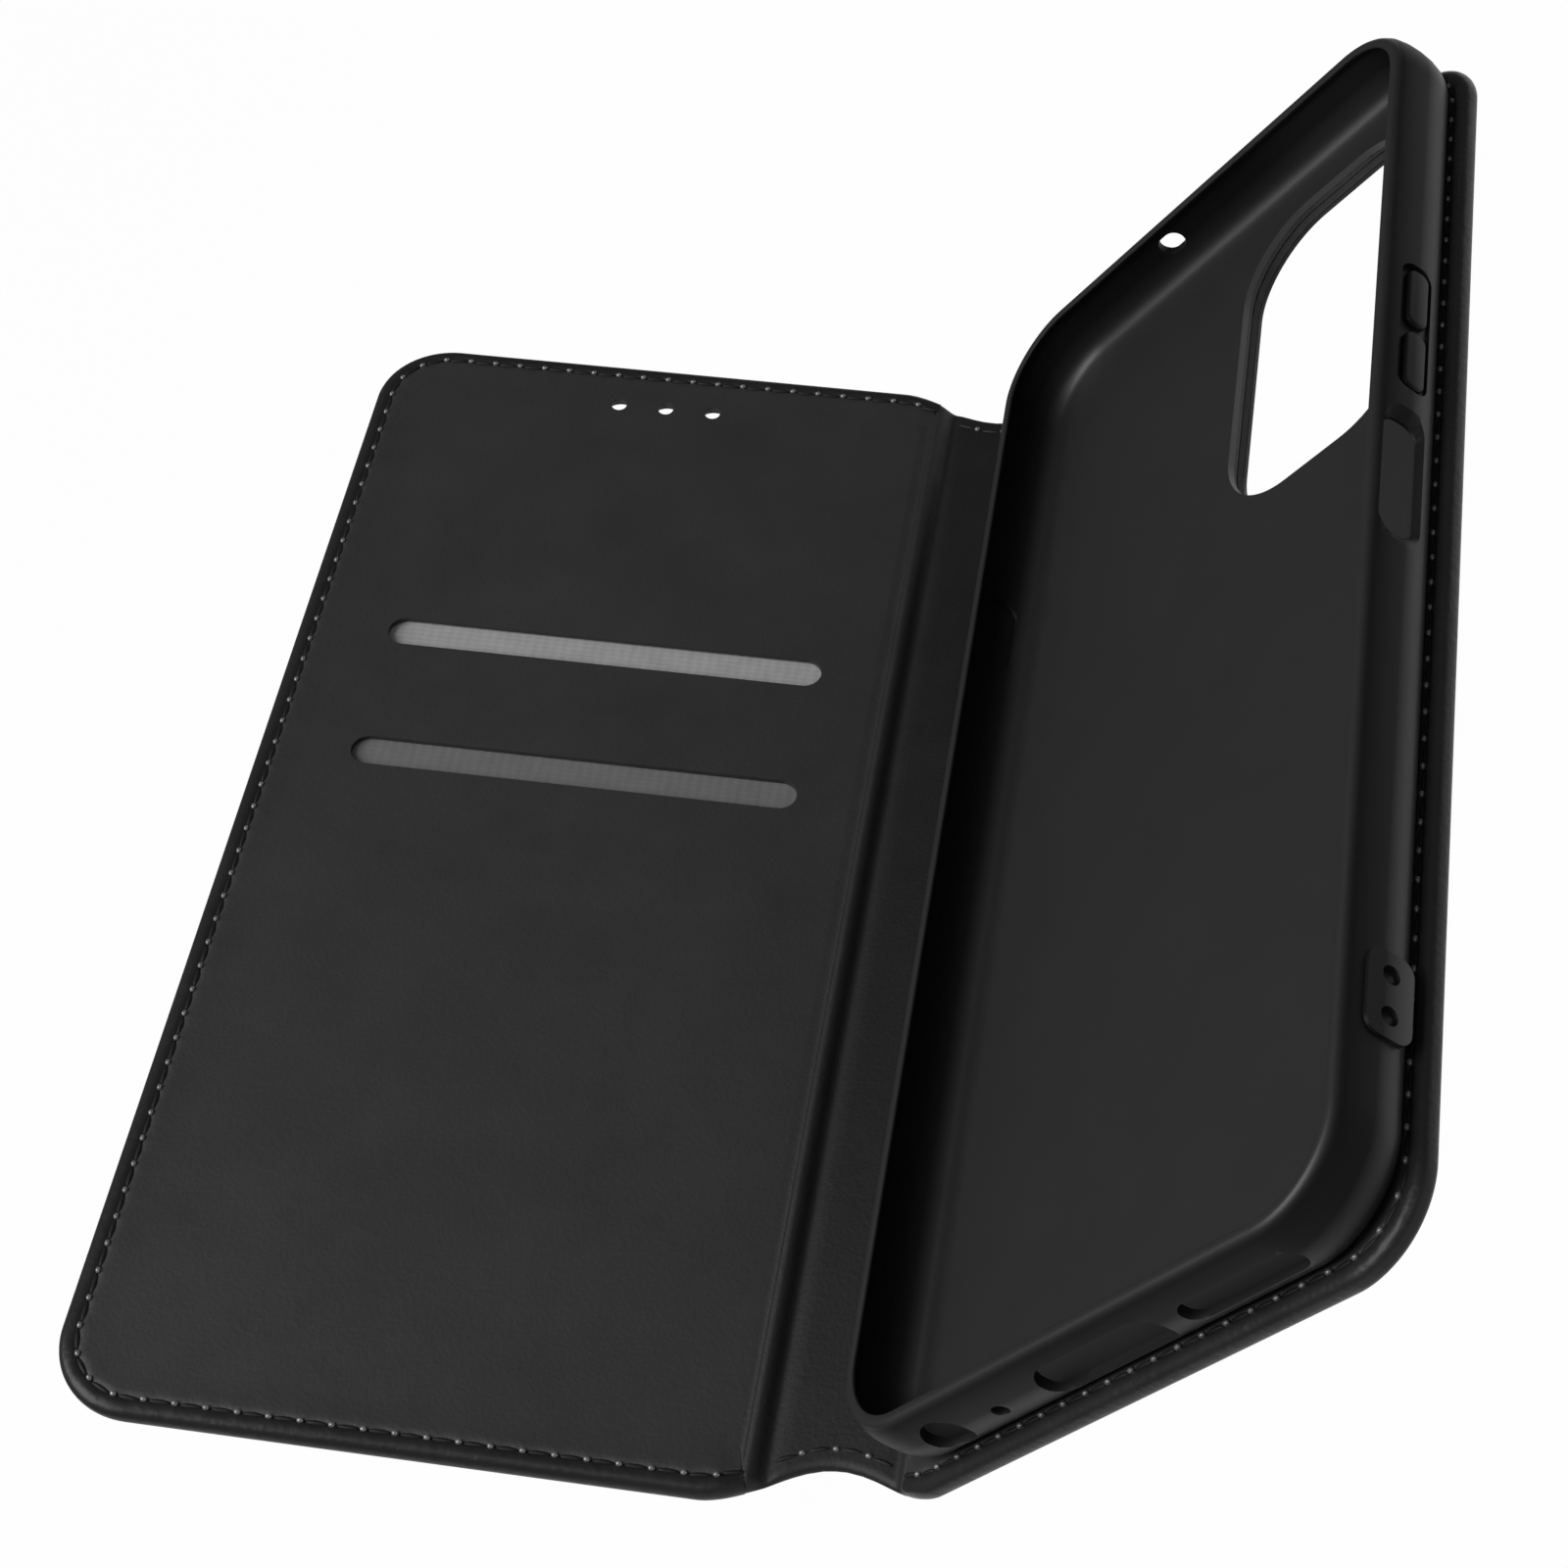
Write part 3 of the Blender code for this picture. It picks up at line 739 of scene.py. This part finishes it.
def tray_cutters():
    """Solids cut out of the tray: window, button window, power scoop, lanyard holes, ports and relief."""
    half_w = PHONE_W / 2
    half_h = PHONE_H / 2
    window = rounded_rectangle(*WINDOW_SIZE, WINDOW_CORNER, WINDOW_CENTRE, WINDOW_CORNER_STEPS)
    tools = [prism(window, WINDOW_CUT_ZS)]
    volume = rounded_rectangle(*VOLUME_SIZE, VOLUME_CORNER)
    tools.append(wall_cutter(volume, SIDE_WALL, (half_w, *VOLUME_PLACE), WALL_CUT))
    scoop = loft([at_height(rounded_rectangle(length, height, corner), out)
                  for length, height, corner, out in POWER_SECTIONS])
    tools.append(placed(scoop, SIDE_WALL, (half_w, *POWER_PLACE)))
    for side in (-0.5, 0.5):
        place = (half_w, LANYARD_PLACE[0] + side * LANYARD_PITCH, LANYARD_PLACE[1])
        tools.append(wall_cutter(circle(LANYARD_RADIUS), SIDE_WALL, place, WALL_CUT))
    for ports, wall in ((BOTTOM_PORTS, -half_h), ((TOP_PORT,), half_h)):
        for x, z, width, height in ports:
            tools.append(wall_cutter(stadium(width, height), END_WALL, (x, wall, z), WALL_CUT))
    tools.append(wall_cutter(rounded_rectangle(*RELIEF), SIDE_WALL, (-half_w, *RELIEF_PLACE), RELIEF_CUT))
    return tools


def build_shell():
    """The soft tray with its lanyard pad and openings."""
    shell = finished("shell_moulding", loft([at_height(phone_ring(offset), z) for offset, z in TRAY_PROFILE]),
                     SHELL_PLASTIC)
    pad_x = PHONE_W / 2 + LANYARD_PAD_OUT - LANYARD_PAD_T / 2
    pad = wall_cutter(rounded_rectangle(*LANYARD_PAD), SIDE_WALL, (pad_x, *LANYARD_PLACE), LANYARD_PAD_T)
    cut(shell, [pad], "UNION")
    cut(shell, tray_cutters())
    soften(shell, TRAY_EDGE, TRAY_EDGE_DEG)
    even_normals(shell)
    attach(shell, "holder")
    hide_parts("phone_shell")


def build_buttons():
    """Two raised pads on thin webs that press into the volume window."""
    width, height, corner = BUTTON_PAD
    for name, side in (("volume_up", 0.5), ("volume_down", -0.5)):
        rings = [at_height(web_outline(side), z) for z in (0.0, BUTTON_WEB_T)]
        for inset, rise in BUTTON_RISE:
            pad = rounded_rectangle(width - 2 * inset, height - 2 * inset, corner - inset,
                                    (0.0, -BUTTON_DROP))
            rings.append(at_height(pad, rise))
        place = (BUTTON_INNER_X, VOLUME_PLACE[0] + side * BUTTON_PITCH, VOLUME_PLACE[1])
        button = finished(name + "_pad", placed(loft(rings), SIDE_WALL, place), SHELL_PLASTIC)
        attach(button, name)
        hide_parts(name + "_button")


# Covers

def build_skin(name, node, body, to_world, tools):
    """Outer leather of a cover, rolled over its edge to the seam."""
    rings = panel_rings(SKIN_PROFILE, lambda inset, z: min(z, SKIN_CREASE_Z))
    skin = finished(name, loft(rings), OUTER_LEATHER)
    cut(skin, tools)
    skin.data.transform(to_world)
    even_normals(skin)
    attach(skin, body)
    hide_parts(node)


def build_lining(name, node, body, to_world, tools):
    """Inner leather of a cover from the seam inwards, puffed between the stitches."""
    flat_inset, flat_z = LINING_PROFILE[-1]
    rings = panel_rings(LINING_PROFILE,
                        lambda inset, z: min(z, flat_z - (flat_inset - inset) * LINING_CREASE_DROP))
    lining = finished(name, loft(rings), LINING_LEATHER)
    cut(lining, tools)
    soften(lining, LINING_EDGE, LINING_EDGE_DEG)
    lining.data.transform(to_world)
    even_normals(lining)
    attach(lining, body)
    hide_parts(node)


def seam_tree(name):
    """Geometry Nodes tree that lays stitches along a path, one at each pitch."""
    tree = bpy.data.node_groups.new(name, "GeometryNodeTree")
    tree.interface.new_socket("Geometry", in_out="INPUT", socket_type="NodeSocketGeometry")
    for label in ("Pitch", "Length", "Width"):
        tree.interface.new_socket(label, in_out="INPUT", socket_type="NodeSocketFloat")
    tree.interface.new_socket("Material", in_out="INPUT", socket_type="NodeSocketMaterial")
    tree.interface.new_socket("Geometry", in_out="OUTPUT", socket_type="NodeSocketGeometry")
    nodes = tree.nodes
    link = tree.links.new
    start = nodes.new("NodeGroupInput")
    path = nodes.new("GeometryNodeMeshToCurve")
    spaced = nodes.new("GeometryNodeResampleCurve")
    spaced.mode = "LENGTH"
    tangent = nodes.new("GeometryNodeInputTangent")
    turn = nodes.new("FunctionNodeAlignRotationToVector")
    turn.axis = "X"
    turn.pivot_axis = "Z"
    bead = add(tree, "GeometryNodeMeshUVSphere", Segments=BEAD_SEGMENTS, Rings=BEAD_RINGS, Radius=0.5)
    size = nodes.new("ShaderNodeCombineXYZ")
    shape = nodes.new("GeometryNodeTransform")
    place = nodes.new("GeometryNodeInstanceOnPoints")
    solid = nodes.new("GeometryNodeRealizeInstances")
    finish = nodes.new("GeometryNodeSetMaterial")
    end = nodes.new("NodeGroupOutput")
    link(start.outputs["Geometry"], path.inputs["Mesh"])
    link(path.outputs["Curve"], spaced.inputs["Curve"])
    link(start.outputs["Pitch"], spaced.inputs["Length"])
    link(tangent.outputs["Tangent"], turn.inputs["Vector"])
    link(start.outputs["Length"], size.inputs["X"])
    link(start.outputs["Width"], size.inputs["Y"])
    link(start.outputs["Width"], size.inputs["Z"])
    link(bead.outputs["Mesh"], shape.inputs["Geometry"])
    link(size.outputs["Vector"], shape.inputs["Scale"])
    link(spaced.outputs["Curve"], place.inputs["Points"])
    link(shape.outputs["Geometry"], place.inputs["Instance"])
    link(turn.outputs["Rotation"], place.inputs["Rotation"])
    link(place.outputs["Instances"], solid.inputs["Geometry"])
    link(solid.outputs["Geometry"], finish.inputs["Geometry"])
    link(start.outputs["Material"], finish.inputs["Material"])
    link(finish.outputs["Geometry"], end.inputs["Geometry"])
    return tree


def build_seam(name, body, to_world, paths, values):
    """Stitches along open paths of (u, y, height) on one body, with the tree's inputs given by name."""
    mesh = bpy.data.meshes.new(name)
    points = []
    edges = []
    for path in paths:
        edges += [(len(points) + i, len(points) + i + 1) for i in range(len(path) - 1)]
        points += [[c * MM for c in point] for point in path]
    mesh.from_pydata(points, edges, [])
    seam = shown(name, mesh)
    modifier = seam.modifiers.new("stitches", "NODES")
    modifier.node_group = SEAM_TREE
    for socket in SEAM_TREE.interface.items_tree:
        if socket.name in values:
            modifier[socket.identifier] = values[socket.name]
    applied(seam)
    seam.data.transform(to_world)
    seam.data.shade_smooth()
    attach(seam, body)


def trimmed(path, cut_off):
    """A path without a length at each end."""
    ends = []
    for points in (path, path[::-1]):
        left = cut_off
        for i, (first, last) in enumerate(zip(points, points[1:])):
            span = (Vector(last) - Vector(first)).length
            if span > left:
                ends.append((i + 1, tuple(Vector(first).lerp(Vector(last), left / span))))
                break
            left -= span
    (skip_a, first), (skip_b, last) = ends
    return [first] + path[skip_a:len(path) - skip_b] + [last]


def sew(prefix, body, to_world, paths):
    """Sunken stitches along (path, lift) pairs, and the loops where the thread comes up between them,
    lightened with a painted highlight.
    """
    stitch = {"Pitch": STITCH_PITCH * MM, "Length": STITCH_LENGTH * MM, "Width": STITCH_WIDTH * MM,
              "Material": SEAM_THREAD}
    loop = {"Pitch": STITCH_PITCH * MM, "Length": LOOP_LENGTH * MM, "Width": LOOP_WIDTH * MM,
            "Material": LOOP_HIGHLIGHT_THREAD}
    build_seam(prefix + "_stitches", body, to_world, [path for path, lift in paths], stitch)
    raised = [[(u, y, z + lift) for u, y, z in trimmed(path, STITCH_PITCH / 2)] for path, lift in paths]
    build_seam(prefix + "_loops", body, to_world, raised, loop)


def build_covers():
    """Both covers with their window, slots, ear holes and seams."""
    size = [value + 2 * WINDOW_COVER_MARGIN for value in WINDOW_SIZE]
    centre = (WINDOW_CENTRE[0] - hinge_back.x / MM, WINDOW_CENTRE[1] - hinge_back.y / MM)
    window = rounded_rectangle(*size, WINDOW_CORNER, centre, WINDOW_CORNER_STEPS)
    build_skin("back_cover_leather", "back_outer_skin", "holder", TO_BACK, [prism(window, COVER_CUT_ZS)])
    build_lining("back_cover_lining", "back_lining", "holder", TO_BACK, [prism(window, COVER_CUT_ZS)])
    holes = []
    for step in (-1, 0, 1):
        place = (SLOT_U + step * EAR_HOLE_PITCH, -EAR_HOLE_Y)
        holes.append([at_height(circle(radius, place), z) for z, radius in EAR_HOLE])
    slots = [prism(stadium(*SLOT_SIZE, (SLOT_U, -y)), SLOT_CUT_ZS) for y in SLOT_YS]
    build_skin("front_cover_leather", "front_outer_skin", "front_cover", TO_FRONT,
               [loft(rings) for rings in holes])
    build_lining("front_cover_lining", "front_lining", "front_cover", TO_FRONT,
                 [loft(rings) for rings in holes] + slots)
    paths = [(at_height(seam_path(), height), lift) for height, lift in SEAM_HEIGHTS]
    sew("front_seam", "front_cover", TO_FRONT, paths)
    sew("back_seam", "holder", TO_BACK, paths)


def build_pockets():
    """Grey cloth behind the card slots, laid flat between board and lining."""
    for level, slot_y, height, cloth in (("upper", SLOT_YS[0], POCKET_ZS[0], UPPER_CLOTH),
                                         ("lower", SLOT_YS[1], POCKET_ZS[1], LOWER_CLOTH)):
        name = level + "_pocket_cloth_sheet"
        node = level + "_card_pocket"
        top = slot_y + POCKET_TOP
        length = top - POCKET_BOTTOM_Y
        middle = (top + POCKET_BOTTOM_Y) / 2
        work = bmesh.new()
        bmesh.ops.create_grid(work, x_segments=POCKET_GRID[0], y_segments=POCKET_GRID[1], size=0.5)
        for vert in work.verts:
            across, along = vert.co.xy
            wave = POCKET_WAVE_HEIGHT * sin(across * POCKET_WAVES[0]) * cos(along * POCKET_WAVES[1])
            vert.co = Vector((across * POCKET_W + SLOT_U, -(along * length + middle), height + wave)) * MM
        mesh = bpy.data.meshes.new(name)
        work.to_mesh(mesh)
        work.free()
        mesh.transform(TO_FRONT)
        sheet = finished(name, mesh, cloth)
        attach(sheet, "front_cover")
        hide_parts(node)


# Spine

def bend_point(hinge, panel_way, spine_way, u):
    """Point and inner normal of the leather's middle line at a distance u towards the panel."""
    if abs(u) >= CREASE_BEND:
        way = panel_way if u > 0 else spine_way
        along = way if u > 0 else -way
        middle = hinge + way * abs(u) * MM
    else:
        t = (CREASE_BEND - u) / (2 * CREASE_BEND)
        near = hinge + panel_way * CREASE_BEND * MM
        far = hinge + spine_way * CREASE_BEND * MM
        middle = near * (1 - t) ** 2 + hinge * 2 * t * (1 - t) + far * t ** 2
        along = ((near - hinge) * (1 - t) + (hinge - far) * t).normalized()
    normal = along.cross(Vector((0.0, 1.0, 0.0)))
    return middle, normal if normal.z > 0 else -normal


def smooth_profile(points, steps):
    """Extra points along a profile, on a smooth curve through its own points."""
    result = []
    for i in range(len(points) - 1):
        p0 = points[max(i - 1, 0)]
        p1, p2 = points[i], points[i + 1]
        p3 = points[min(i + 2, len(points) - 1)]
        for k in range(steps):
            t = k / steps
            result.append(tuple(0.5 * (2 * b + (c - a) * t + (2 * a - 5 * b + 4 * c - d) * t * t
                                       + (3 * b - a - 3 * c + d) * t ** 3)
                                for a, b, c, d in zip(p0, p1, p2, p3)))
    return result + [points[-1]]


def spine_half_height(u):
    """Half the height of the case's edge along the spine."""
    return COVER_HALF_H - notch_drop(max(u, -SPINE_W - u))


def spine_tuck(u):
    """How far the spine leather's ends are drawn in where it passes under a panel's seam."""
    start, end, depth = SPINE_TUCK
    return depth * eased(u, start, end)


def spine_ring(hinge, panel_way, spine_way, u, inner, outer):
    """Section across the spine leather at a distance u towards the panel, with rounded ends."""
    middle, normal = bend_point(hinge, panel_way, spine_way, u)
    half_h = spine_half_height(u) - spine_tuck(u)
    centre = (inner + outer) / 2
    half_t = (inner - outer) / 2
    ring = []
    for side in (1, -1):
        for k in range(SPINE_EDGE_STEPS + 1):
            turn = pi / 2 - pi * k / SPINE_EDGE_STEPS
            y = half_h - SPINE_EDGE_ROUND + SPINE_EDGE_ROUND * cos(turn)
            point = middle + normal * (centre + side * half_t * sin(turn)) * MM
            ring.append((point.x / MM, point.y / MM + side * y, point.z / MM))
    return ring


def build_spine_half(name, hinge, panel_way, spine_way, panel_body):
    """Leather from a panel's edge over its crease to the middle of the spine."""
    rings = []
    for u, inner, outer in smooth_profile(SPINE_PROFILE, SPINE_SMOOTHING):
        if panel_body == "holder" and inner < BACK_CREASE_LEVEL:
            inner += (BACK_CREASE_LEVEL - inner) * BACK_CREASE_SHARE
        rings.append(spine_ring(hinge, panel_way, spine_way, u, inner, outer))
    half = finished(name, loft(rings), SHADED_SPINE_LEATHER)
    half.data.materials.append(OUTER_LEATHER)
    # Share of the covers' own tone against the spine's painted shade, by distance towards the panel
    share = half.data.attributes.new("unshaded_share", "FLOAT", "POINT")
    for vert, point in zip(half.data.vertices, share.data):
        point.value = eased((vert.co - hinge).dot(panel_way) / MM, *SPINE_SHADE_FADE)
    inward = bend_point(hinge, panel_way, spine_way, 0.0)[1]
    for face in half.data.polygons:
        if face.normal.dot(inward) < SPINE_OUTER_FACING:
            face.material_index = 1
    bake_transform(half)
    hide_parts("spine_outer_skin", "spine_lining")


def build_spine():
    """Both halves of the spine leather and the stitches at its two ends."""
    up_spine = (hinge_front - hinge_back).normalized()
    tilt = radians(FRONT_TILT_DEG)
    up_front = Vector((-cos(tilt), 0.0, sin(tilt)))
    build_spine_half("spine_leather_front", hinge_front, up_front, -up_spine, "front_cover")
    build_spine_half("spine_leather_back", hinge_back, Vector((1.0, 0.0, 0.0)), up_spine, "holder")
    paths = []
    for side in (1, -1):
        for height, lift in SPINE_SEAM_HEIGHTS:
            path = []
            for i in range(SPINE_SEAM_STEPS + 1):
                u = -SPINE_SEAM_MARGIN - (SPINE_W - 2 * SPINE_SEAM_MARGIN) * i / SPINE_SEAM_STEPS
                path.append((u, side * (spine_half_height(u) - SEAM_INSET), height))
            paths.append((path, lift))
    sew("spine_seam", "spine", TO_SPINE, paths)


def dress_inner_pieces():
    """Finishes of the pieces inside the covers."""
    for node, item in frame["nodes"].items():
        for word, material in (("board", BOARD), ("adhesive", FILM), ("magnet", MAGNET)):
            if word in node:
                item.data.materials.clear()
                item.data.materials.append(material)


# Studio

def build_floor():
    """Pale floor that reads white to the camera and in reflections, and keeps a faint shadow."""
    material, tree, shader = node_material("studio_floor", STUDIO_GREY, STUDIO_ROUGH)
    rays = tree.nodes.new("ShaderNodeLightPath").outputs
    seen = rays["Is Camera Ray"]
    for ray in ("Is Glossy Ray", "Is Transmission Ray"):
        seen = reckoned(tree, "MAXIMUM", seen, rays[ray])
    glow = add(tree, "ShaderNodeEmission", Color=WHITE, Strength=1.0)
    mix = tree.nodes.new("ShaderNodeMixShader")
    tree.links.new(reckoned(tree, "MULTIPLY", seen, STUDIO_WHITE_SHARE), mix.inputs["Fac"])
    tree.links.new(shader.outputs["BSDF"], mix.inputs[1])
    tree.links.new(glow.outputs["Emission"], mix.inputs[2])
    tree.links.new(mix.outputs["Shader"], tree.nodes["Material Output"].inputs["Surface"])
    mesh = bpy.data.meshes.new("studio_floor")
    work = bmesh.new()
    bmesh.ops.create_grid(work, x_segments=1, y_segments=1, size=STUDIO_HALF_SIZE)
    work.to_mesh(mesh)
    work.free()
    mesh.transform(Matrix.Translation((0.0, 0.0, STUDIO_LEVEL)))
    mesh.materials.append(material)
    floor = shown("studio_floor", mesh)


def area_light(name, place, aim, size, watts):
    """A square soft box aimed at a point."""
    data = bpy.data.lights.new(name, "AREA")
    data.size = size
    data.energy = watts
    lamp = shown(name, data)
    lamp.location = place
    lamp.rotation_euler = (Vector(aim) - Vector(place)).to_track_quat("-Z", "Y").to_euler()


def build_camera():
    """The photograph's camera."""
    right = Vector(CAMERA_RIGHT).normalized()
    back = -Vector(CAMERA_FORWARD).normalized()
    up = back.cross(right).normalized()
    data = bpy.data.cameras.new("photo_camera")
    data.sensor_width = SENSOR_MM
    data.lens = SENSOR_MM * FOCAL_PX / IMAGE_PX
    data.clip_start = CAMERA_NEAR
    camera = shown("photo_camera", data)
    camera.matrix_world = Matrix.Translation(CAMERA_AT) @ Matrix((right, up, back)).transposed().to_4x4()
    bpy.context.scene.camera = camera


def build_studio():
    """World and soft boxes."""
    scene = bpy.context.scene
    scene.world = bpy.data.worlds.new("studio")
    scene.world.use_nodes = True
    sky = scene.world.node_tree.nodes["Background"]
    sky.inputs["Color"].default_value = WHITE
    sky.inputs["Strength"].default_value = WORLD_STRENGTH
    area_light("top_box", **TOP_BOX)
    area_light("side_box", **SIDE_BOX)
    scene.view_settings.view_transform = "Standard"


SEAM_TREE = seam_tree("seam")
build_shell()
build_buttons()
build_covers()
build_pockets()
build_spine()
dress_inner_pieces()
build_floor()
build_studio()
build_camera()
